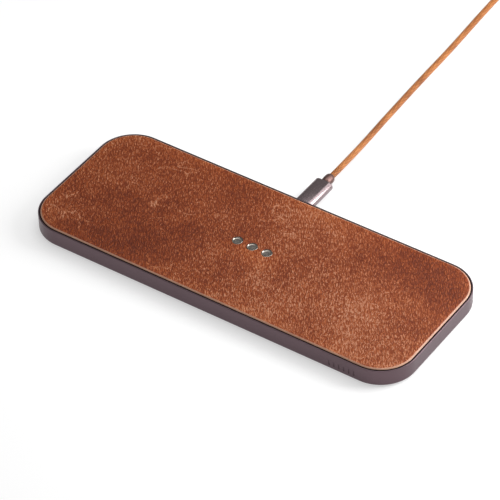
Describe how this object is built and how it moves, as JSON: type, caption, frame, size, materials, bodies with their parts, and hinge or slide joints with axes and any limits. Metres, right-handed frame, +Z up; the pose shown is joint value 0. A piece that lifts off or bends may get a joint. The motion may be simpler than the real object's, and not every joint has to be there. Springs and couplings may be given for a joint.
{
  "type": "wireless charging pad",
  "caption": "Flat leather-topped charging pad for phones in a round-cornered aluminium frame, with charging coils inside and a braided USB-C lead in its rear wall.",
  "frame": {"origin": "on the table under the middle of the pad (lead and plugs left out)", "axes": "+X along the pad, +Y towards the port and the lead, +Z up"},
  "size_m": [0.235, 0.3735, 0.0152],
  "materials": {
    "tan_leather": "pebbled pull-up leather, satin",
    "black_plastic": "fine matt",
    "brown_anodised": "bead-blasted, anodised dark mauve brown",
    "soft_black_plastic": "soft-touch matt",
    "grey_silicone": "matt silicone",
    "steel": "plain",
    "stud_metal": "satin, dished",
    "ivory_plastic": "plain",
    "copper": "enamelled copper wire",
    "green_board": "solder mask",
    "chip_black": "moulded epoxy",
    "capacitor_tan": "plain",
    "ferrite_grey": "sintered, matt",
    "blue_resin": "dipped resin",
    "bright_steel": "nickel plated",
    "contact_plastic": "moulded",
    "relief_metal": "anodised, satin",
    "tan_braid": "braided nylon",
    "brown_strap": "hook-and-loop strap"
  },
  "bodies": {
    "pad": {"leather_top": "tan_leather", "top_plate": "black_plastic", "frame": "brown_anodised", "base_cover": "soft_black_plastic", "grip_ring": "grey_silicone", "cover_screws": "steel", "stud_left": "stud_metal", "stud_middle": "stud_metal", "stud_right": "stud_metal", "coil_left_outer": "copper", "coil_left_inner": "copper", "coil_middle": "copper", "coil_right_inner": "copper", "coil_right_outer": "copper", "ferrite_left": "ferrite_grey", "ferrite_middle": "ferrite_grey", "ferrite_right": "ferrite_grey", "coil_carrier": "ivory_plastic", "coil_leads": "copper", "main_board": "green_board", "controller_left": "chip_black", "controller_right": "chip_black", "bridge_chips": "chip_black", "tuning_capacitors": "capacitor_tan", "inductor_left": "ferrite_grey", "inductor_right": "ferrite_grey", "thermal_sensors": "blue_resin", "board_screws": "steel", "socket_shell": "bright_steel", "socket_insert": "contact_plastic"},
    "cable": {"plug_nose": "bright_steel", "plug_insert": "contact_plastic", "plug_shell": "brown_anodised", "plug_relief": "relief_metal", "cord_lead": "tan_braid", "cord_coil": "tan_braid", "cord_tail": "tan_braid", "cord_tie": "brown_strap", "far_plug_nose": "bright_steel", "far_plug_insert": "contact_plastic", "far_plug_shell": "brown_anodised", "far_plug_relief": "relief_metal"}
  },
  "joints": [
    {"name": "plug_slide", "type": "slide", "parent": "pad", "child": "cable", "axis": [0, 1, 0], "range_m": [0, 0.012]}
  ]
}
